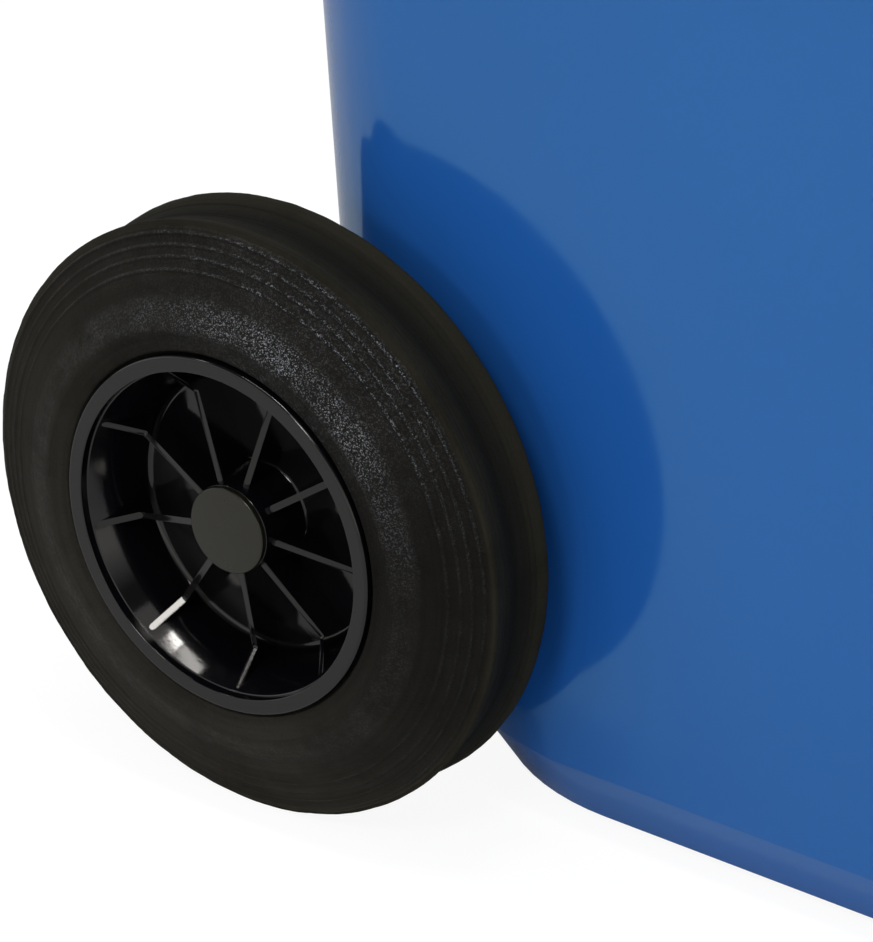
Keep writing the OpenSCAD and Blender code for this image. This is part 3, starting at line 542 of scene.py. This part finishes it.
def outline(plan, z, cut=None, steps=CORNER_STEPS, extra=EXTRA_STEPS):
    """Ring of points round a plan with four round corners. With cut, the rear corners stop at
    the plane x = cut; without it they turn all the way, with extra points past that plane."""
    x0, x1, half, r0, r1 = plan
    points = []

    def corner(cx, cy, r, start, stop, count, first):
        for k in range(first, count + 1):
            a = math.radians(start + (stop - start) * k / count)
            points.append((cx + r * math.cos(a), cy + r * math.sin(a), z))

    corner(x1 - r1, r1 - half, r1, -90, 0, steps, 0)
    corner(x1 - r1, half - r1, r1, 0, 90, steps, 0)
    reach = max(-1, min(1, (HEEL_X - x0 - r0) / r0))
    knee = min(179.9, math.degrees(math.acos(reach))) if z < RECESS_Z + 0.01 else CEILING_KNEE
    if cut:
        corner(x0 + r0, half - r0, r0, 90, knee, steps, 0)
        corner(x0 + r0, r0 - half, r0, 360 - knee, 270, steps, 0)
    else:
        corner(x0 + r0, half - r0, r0, 90, knee, steps, 0)
        corner(x0 + r0, half - r0, r0, knee, 180, extra, 1)
        corner(x0 + r0, r0 - half, r0, 180, 360 - knee, extra, 0)
        corner(x0 + r0, r0 - half, r0, 360 - knee, 270, steps, 1)
    return points


_x0, _, _, _r0, _ = wall_plan(RECESS_Z)
CEILING_KNEE = math.degrees(math.acos((HEEL_X - _x0 - _r0) / _r0))


def body_skin():
    form = Form()
    # profile of the foot as (inset, height): base edge, skirt, crease
    top = 34
    foot = soften([(60, BASE_Z), (SKIRT_IN, BASE_Z, 2.4), (0, CREASE_Z, 3.0),
                   (-(top - CREASE_Z) * LEAN, top)], closed=False, step=6)
    rings = []
    for inset, z in foot:
        if z <= CREASE_Z + 0.001:
            rings.append(outline(shift_in(wall_plan(CREASE_Z), inset), z, cut=True))
        else:
            grown = wall_plan(z)
            rings.append(outline(shift_in(grown, inset + (z - CREASE_Z) * LEAN), z, cut=True))
    for k in range(1, 9):
        z = top + (RECESS_Z - top) * k / 8
        rings.append(outline(wall_plan(z), z, cut=True))
    made = form.loft(rings, cap_start=True)

    # ceiling of the recess, and the walls above it
    low = made[-1]
    ring = outline(wall_plan(RECESS_Z), RECESS_Z)
    steps, extra = CORNER_STEPS + 1, EXTRA_STEPS
    front = low[:2 * steps]
    left = low[2 * steps:3 * steps]
    right = low[3 * steps:]
    far_left = form.ring(ring[3 * steps:3 * steps + extra])
    far_right = form.ring(ring[3 * steps + extra:3 * steps + 2 * extra])
    first = front + left + far_left + far_right + right
    form.faces.append(tuple(reversed([left[-1]] + far_left + far_right + [right[0]])))
    upper = [outline(wall_plan(z), z)
             for z in [RECESS_Z + (BAND_Z - 8 - RECESS_Z) * k / 12 for k in range(1, 13)]]
    stand = BAND_T + (BODY_H - BAND_Z) * LEAN
    rim = soften([(0, BAND_Z - 6), (0, BAND_Z, 2.0), (stand, BAND_Z, 2.6), (stand, BODY_H, 2.6),
                  (stand - 12, BODY_H)], closed=False, step=10)
    for out, z in rim:
        plan = wall_plan(min(z, BAND_Z))
        if out > 0 or z > BAND_Z:
            plan = lerp(wall_plan(BAND_Z), BAND_PLAN, out / stand)
        upper.append(outline(plan, z))
    made = form.loft(upper)
    form.bridge(first, made[0])
    obj = make("body_skin", form, BLUE, "body", ["outer_shell"], sharp=24)
    return obj


body = body_skin()
round_edges(body, "rounding", width=1.8, angle=30, segments=3, use_clamp_overlap=True)
thicken_inward(body)


# ---------------------------------------------------------------- wheels

def wheel_place(side):
    """Puts a point of a wheel, with depth counted from the outer ring face, in the frame."""
    def place(x, z, depth):
        return (AXLE_X + x, side * (RING_Y - depth), AXLE_Z + z)
    return place


def both_faces(half):
    return list(half) + [(r, WHEEL_W - d) for r, d in reversed(half)]


RING_R = 60.2
RING_IN_R = 54.8
BOWL_R = 54.4
WEB_R = 47.3
WEB_D = 24.5
BOSS_R = 14.6
RIBS = 9
RIB_START = 35
RIB_T = 2.2


def rim_half():
    """(radius, depth, rounding) from the boss over the web, up the bowl and round the ring."""
    return soften([(13, 7.5), (BOSS_R, 7.5, 0.4), (16.8, WEB_D, 1.2), (WEB_R, WEB_D, 2.6),
                   (48.2, 18.6, 40), (50.6, 10.6, 40), (BOWL_R, 3.2, 0.2), (RING_IN_R, 3.0, 0.2),
                   (RING_IN_R, 0, 0.45), (RING_R, 0, 1.1), (RING_R, 2.5, 0.3), (59.2, 3.5),
                   (59.2, 6)], closed=False, step=6)


def rib(bm, angle, flip):
    """One rib of the rim as a solid with soft edges."""
    outline_rd = [(BOSS_R - 1.5, 10), (44, 15), (BOWL_R + 0.3, 3.3), (57, 6), (57, WEB_D + 1),
                  (13, WEB_D + 1)]
    t = RIB_T / 2
    loops = []
    for s in (-t, t):
        loops.append([bm.verts.new((r, s, d)) for r, d in outline_rd])
    bm.faces.new(loops[0])
    bm.faces.new(list(reversed(loops[1])))
    count = len(outline_rd)
    for i in range(count):
        j = (i + 1) % count
        bm.faces.new((loops[0][j], loops[0][i], loops[1][i], loops[1][j]))
    soft = [e for e in bm.edges
            if all(v in (loops[0][:3] + loops[1][:3]) for v in e.verts)]
    bmesh.ops.bevel(bm, geom=soft, offset=0.68, segments=4, affect="EDGES", profile=0.5,
                    clamp_overlap=True)
    turn = Matrix.Rotation(math.radians(angle), 4, "Z")
    for v in bm.verts:
        v.co = turn @ v.co
        if flip:
            v.co.z = WHEEL_W - v.co.z


def wheel_rim(name, side):
    form = Form()
    place = wheel_place(side)
    form.revolve(both_faces(rim_half()), place, 160)
    for flip in (False, True):
        for k in range(RIBS):
            start = len(form.verts)
            form.solid(lambda bm, a=RIB_START + 40 * k, f=flip: rib(bm, a, f))
            form.verts[start:] = [place(*v) for v in form.verts[start:]]
    rim = make(f"rim_{name}", form, RIM_BLACK, f"wheel_{name}",
               [f"wheel_rim_{name}"], sharp=32)
    flatten_shading(rim)


# (radius, depth) of the tyre's outer half, from the bead to the middle of the tread
SIDEWALL = [(61.1, 2.6), (61.2, 1.7), (61.9, 1.15), (63.4, 1.2), (65.4, 1.0), (66.8, 0.45), (68.5, 0.1),
            (70.6, 0.5), (74.5, 1.9), (80.4, 4.3), (88.2, 8.0), (95.1, 11.1), (98.2, 12.6),
            (99.6, 13.7), (99.85, 14.7), (99.5, 16.2), (98.7, 19.0), (97.9, 22.0), (97.3, 25.0),
            (97.1, 27)]
RIDGE_H = 0.55
RIDGE_W = 0.50
TREAD_LINES = [18.4, 20.6, 26.2]


def near_gap(value, places):
    return min(abs(value - place) for place in places)


def tyre_half():
    out = []
    for r, d in finer(spline(SIDEWALL, 10), 0.3, lambda p: 84.5 < p[0] < 98.5 and p[1] < 14, 0.9):
        if d < 14 and r > 82:
            lift = RIDGE_H * math.exp(-(near_gap(r, RIDGES) / RIDGE_W) ** 2)
            out.append((r + 0.4 * lift, d - 0.9 * lift))
        elif d > 15:
            out.append((r - 0.3 * math.exp(-(near_gap(d, TREAD_LINES) / 0.35) ** 2), d))
        else:
            out.append((r, d))
    return [(59.5, 3.9), (60.9, 3.4)] + out


def finer(points, fine, wants_fine, coarse):
    """Points along an outline, fine apart where wants_fine says so and coarse apart elsewhere."""
    out = [points[0]]
    for a, b in zip(points, points[1:]):
        length = math.dist(a, b)
        count = max(4, math.ceil(length / 0.05))
        for k in range(1, count + 1):
            p = lerp(a, b, k / count)
            step = fine if wants_fine(p) or p[1] > 15 else coarse
            if math.dist(out[-1], p) >= step:
                out.append(p)
    out[-1] = points[-1]
    return out


def tyre(name, side):
    form = Form()
    place = wheel_place(side)
    half = tyre_half()
    inner = [(r, WHEEL_W - d) for r, d in reversed(half[:-1])]
    profile = half + inner
    segments = 360
    rows = []
    for i in range(segments):
        turn = 2 * math.pi * i / segments
        row = []
        for r, d in profile:
            x, z = r * math.cos(turn), r * math.sin(turn)
            if r > 61.5:
                worn = 0.22 * abs(noise.noise(Vector((x, z, d)) * 0.09)) \
                    + 0.12 * abs(noise.noise(Vector((x, z, d)) * 0.6))
                scale = (r - worn) / r
                x, z = x * scale, z * scale
                if d < WHEEL_W / 2:
                    d = d + worn * 0.8
                else:
                    d = d - worn * 0.8
            row.append(place(x, z, d))
        rows.append(form.ring(row))
    for i in range(segments):
        form.bridge(rows[i], rows[(i + 1) % segments])
    return make(f"tyre_{name}_rubber", form, TYRE, f"wheel_{name}", [f"tyre_{name}"],
                sharp=60)


def hub_cap(name, side):
    form = Form()
    profile = soften([(0, 5.5), (14.5, 5.5, 0.7), (14.5, 7.4), (12.9, 7.6), (12.9, 12), (11.3, 12),
                      (11.3, 8), (0, 8)], closed=False, step=15)
    form.revolve(profile, wheel_place(side), 96, closed=False)
    return make(f"cap_{name}", form, CAP_BLACK, f"wheel_{name}", [f"hub_cap_{name}"],
                sharp=40)


for side_name, side_sign in SIDES.items():
    wheel_rim(side_name, side_sign)
    tyre(side_name, side_sign)
    hub_cap(side_name, side_sign)


# ---------------------------------------------------------------- lid

def circle_points(cx, cy, r, z, steps=64):
    turns = [2 * math.pi * k / steps for k in range(steps)]
    return [(cx + r * math.cos(turn), cy + r * math.sin(turn), z) for turn in turns]


def fill_flat(form, loops):
    """Fills the flat area between an outer loop and the holes in it."""
    bm = bmesh.new()
    index = {}
    edges = []
    for loop in loops:
        verts = []
        for i in loop:
            v = bm.verts.new(form.verts[i])
            index[v] = i
            verts.append(v)
        edges += [bm.edges.new((verts[k], verts[(k + 1) % len(verts)])) for k in range(len(verts))]
    made = bmesh.ops.triangle_fill(bm, use_beauty=True, use_dissolve=False, edges=edges)
    for f in made["geom"]:
        if isinstance(f, bmesh.types.BMFace):
            form.faces.append(tuple(index[v] for v in f.verts))
    bm.free()


def lid_skin():
    form = Form()
    groove = 30
    edge = soften([(7, LID_Z), (0, LID_Z, 1.6), (0, LID_TOP, LID_ROUND), (groove - 3, LID_TOP, 1.0),
                   (groove - 1.2, LID_TOP - 1.4, 0.8), (groove + 1.2, LID_TOP - 1.4, 0.8),
                   (groove + 3, LID_TOP, 1.0), (groove + 6, LID_TOP)], closed=False, step=8)
    rings = [outline(draw_in(BAND_PLAN, inset), z, steps=24, extra=12) for inset, z in edge]
    made = form.loft(rings)
    holes = []
    for x in (BAND_PLAN[0] + CUP_IN, BAND_PLAN[1] - CUP_IN):
        for y in (-1, 1):
            cy = y * (BAND_PLAN[2] - CUP_IN)
            cup = soften([(CUP_R + 2.6, LID_TOP), (CUP_R, LID_TOP, 2.2),
                          (CUP_R, LID_TOP - CUP_DEPTH, 3.5), (1, LID_TOP - CUP_DEPTH)],
                         closed=False, step=12)
            cup_rings = form.loft([circle_points(x, cy, r, z) for r, z in cup], cap_end=True)
            holes.append(cup_rings[0])
    fill_flat(form, [made[-1]] + holes)
    return make("lid_skin", form, BLUE, "lid", ["lid_shell"], sharp=30)


def finger_lip():
    form = Form()
    y0 = HALF_RIM + BAND_T
    shape = soften([(y0 - 3, LID_Z + 1.6), (y0 + 14, LID_Z + 1.6, 4), (y0 + 14, LID_Z + 11, 5),
                    (y0 + 0.2, LID_Z + 23, 3), (y0 - 3, LID_Z + 23)], closed=False, step=12)
    half = 75
    rings = []
    for k in range(41):
        x = -half + 2 * half * k / 40
        end = max(0, (abs(x) - (half - 16)) / 16)
        keep = math.sqrt(max(0, 1 - end * end)) if end > 0 else 1
        rings.append([(x, -(y0 - 3 + (y - y0 + 3) * max(0.12, keep)), z) for y, z in shape])
    form.loft(rings, cap_start=True, cap_end=True)
    return make("finger_lip", form, BLUE, "lid", sharp=40)


thicken_inward(lid_skin())
finger_lip()


# ---------------------------------------------------------------- grips

def grip(name, node, body_name, bore, rings_count):
    """Rubber grip with rounded rings, over the bar along Y."""
    low, high = (v * 1000 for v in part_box(node))
    r = (high.z - low.z) / 2
    cx, cz = (low.x + high.x) / 2, (low.z + high.z) / 2
    half = (high.y - low.y) / 2
    points = [(bore, -half, 0), (r - 0.4, -half, 1.2), (r - 0.4, -half + 3.4, 0.8),
              (r - 1.6, -half + 4.4, 0.8)]
    inner = half - 6
    for k in range(rings_count):
        a = -inner + 2 * inner * k / rings_count
        b = -inner + 2 * inner * (k + 1) / rings_count
        points += [(r - 1.5, a + 0.5, 0.4), (r, a + 1.3, 0.9), (r, b - 1.3, 0.9),
                   (r - 1.5, b - 0.5, 0.4)]
    points += [(r - 1.6, half - 4.4, 0.8), (r - 0.4, half - 3.4, 0.8), (r - 0.4, half, 1.2),
               (bore, half, 0)]
    form = Form()
    form.revolve(soften(points, step=18), lambda x, z, d: (cx + x, d, cz + z), 72)
    return make(name, form, GRIP, body_name, [node], sharp=50)


grip("tow_grip_rubber", "tow_grip", "tow_handle", 9.6, 14)
grip("lift_grip_rubber", "lift_grip", "lift_handle", 6.1, 12)


# ---------------------------------------------------------------- CAD nodes that stay

slot_of = {s["node"]: s["material_slot"] for s in frame["record"]["subparts"]}
for node_name, obj in frame["nodes"].items():
    obj.data.materials.clear()
    obj.data.materials.append(SLOT_MATERIALS[slot_of[node_name]])
    if slot_of[node_name] in ("fitting_black", "basket_grey"):
        modify(obj, "weld", "WELD", merge_threshold=0.00001)
        round_edges(obj, "soften", width=0.6, angle=40, segments=2)
        flatten_shading(obj)


# ---------------------------------------------------------------- floor, light and camera

# in metres: the near wheel's middle, and the camera's place from it along its own axes
FLOOR_HALF = 60
WHEEL_AT = (AXLE_X / 1000, -RING_Y / 1000, AXLE_Z / 1000)
CAMERA_AWAY = 2.0
CAMERA_RIGHT = 0.06896
CAMERA_UP = 0.02078


def seen_directly(tree):
    """1 for camera, glossy and transmission rays, and 0 for the light that falls on things."""
    path = tree.nodes.new("ShaderNodeLightPath")
    seen = math_node(tree, "MAXIMUM", path.outputs["Is Camera Ray"], path.outputs["Is Glossy Ray"])
    return math_node(tree, "MAXIMUM", seen, path.outputs["Is Transmission Ray"])


def glowing_white(tree, colour, glow):
    """Shader of a diffuse colour with some light of its own."""
    diffuse = tree.nodes.new("ShaderNodeBsdfDiffuse")
    diffuse.inputs["Color"].default_value = (colour, colour, colour, 1)
    light = tree.nodes.new("ShaderNodeEmission")
    light.inputs["Color"].default_value = (1, 1, 1, 1)
    light.inputs["Strength"].default_value = glow
    both = tree.nodes.new("ShaderNodeAddShader")
    tree.links.new(diffuse.outputs[0], both.inputs[0])
    tree.links.new(light.outputs[0], both.inputs[1])
    return both.outputs[0]


def mix_shader(tree, factor, a, b):
    node = tree.nodes.new("ShaderNodeMixShader")
    tree.links.new(factor, node.inputs[0])
    tree.links.new(a, node.inputs[1])
    tree.links.new(b, node.inputs[2])
    return node.outputs[0]


def floor():
    """Pale to the light that falls on it, dimmer where it is mirrored, and white to the camera."""
    mesh = bpy.data.meshes.new("floor")
    s = FLOOR_HALF
    mesh.from_pydata([(-s, -s, 0), (s, -s, 0), (s, s, 0), (-s, s, 0)], [], [(0, 1, 2, 3)])
    obj = put("floor", mesh)
    mat = bpy.data.materials.new("floor_white")
    mat.use_nodes = True
    tree = mat.node_tree
    tree.nodes.clear()
    path = tree.nodes.new("ShaderNodeLightPath")
    unseen = glowing_white(tree, 0.8, 0)
    mirrored = glowing_white(tree, 0.58, 0.04)
    shown = mix_shader(tree, path.outputs["Is Camera Ray"], mirrored, glowing_white(tree, 0.12, 0.92))
    out = tree.nodes.new("ShaderNodeOutputMaterial")
    tree.links.new(mix_shader(tree, seen_directly(tree), unseen, shown), out.inputs["Surface"])
    mesh.materials.append(mat)


def world(fill):
    """Even light on the object. What is seen of the room is white at the horizon and dim overhead."""
    w = bpy.data.worlds.new("studio")
    bpy.context.scene.world = w
    w.use_nodes = True
    tree = w.node_tree
    back = tree.nodes["Background"]
    place = tree.nodes.new("ShaderNodeTexCoord")
    split = tree.nodes.new("ShaderNodeSeparateXYZ")
    tree.links.new(place.outputs["Generated"], split.inputs[0])
    room = ramp(tree, split.outputs["Z"], [(0.0, 1.0), (0.22, 1.0), (0.62, 0.10), (1.0, 0.06)])
    light = mix_colour(tree, (fill, fill, fill), room, seen_directly(tree))
    tree.links.new(light, back.inputs["Color"])
    back.inputs["Strength"].default_value = 1


def softbox(name, place, target, width, height, radiance, mirrored=True):
    """Area light of a given radiance, aimed at a point. Places are in metres. One that isn't
    mirrored gives no highlight, so a low view of a flat face shows the pale studio in it."""
    data = bpy.data.lights.new(name, "AREA")
    data.shape = "RECTANGLE"
    data.size, data.size_y = width, height
    data.energy = radiance * math.pi * width * height
    obj = put(name, data)
    obj.location = place
    obj.rotation_euler = (Vector(target) - Vector(place)).to_track_quat("-Z", "Y").to_euler()
    obj.visible_camera = False
    obj.visible_glossy = mirrored


def camera():
    """Looks along the photograph's direction at the near wheel, in the frame's metres."""
    right = Vector((0.7912, 0.6115, 0.0))
    up = Vector((-0.2767, 0.3580, 0.8918))
    back = Vector((0.5454, -0.7056, 0.4524))
    data = bpy.data.cameras.new("camera")
    data.sensor_fit = "VERTICAL"
    data.sensor_height = 36
    data.lens = 245.7
    data.clip_end = 200
    obj = put("camera", data)
    obj.matrix_world = Matrix((right, up, back)).transposed().to_4x4()
    obj.location = Vector(WHEEL_AT) + back * CAMERA_AWAY + right * CAMERA_RIGHT + up * CAMERA_UP
    bpy.context.scene.camera = obj


floor()
world(0.42)
softbox("overhead", (0.2, -0.55, 2.4), (0.2, -0.55, 0), 2.4, 1.9, 0.8)
softbox("over_wheel", (0.02, -0.44, 2.2), (0.02, -0.24, 0.1), 0.4, 0.2, 30)
softbox("over_rear", (-0.60, -0.44, 2.3), (-0.60, -0.24, 0.1), 0.75, 0.2, 8)
softbox("key", (0.30, -1.70, 1.66), WHEEL_AT, 0.46, 0.46, 17)
softbox("rear_edge", (-1.72, -0.97, 1.62), WHEEL_AT, 0.25, 0.25, 8)
softbox("side_fill", (-0.3, -3.0, 0.7), (0, 0, 0.2), 1.6, 1.0, 1.6, mirrored=False)
softbox("back_fill", (-0.3, 3.0, 0.9), (0, 0, 0.2), 1.8, 1.2, 2.0, mirrored=False)
softbox("end_fill", (3.0, 0.4, 0.9), (0, 0, 0.2), 1.6, 1.2, 1.6, mirrored=False)
camera()
bpy.context.scene.view_settings.view_transform = "Standard"
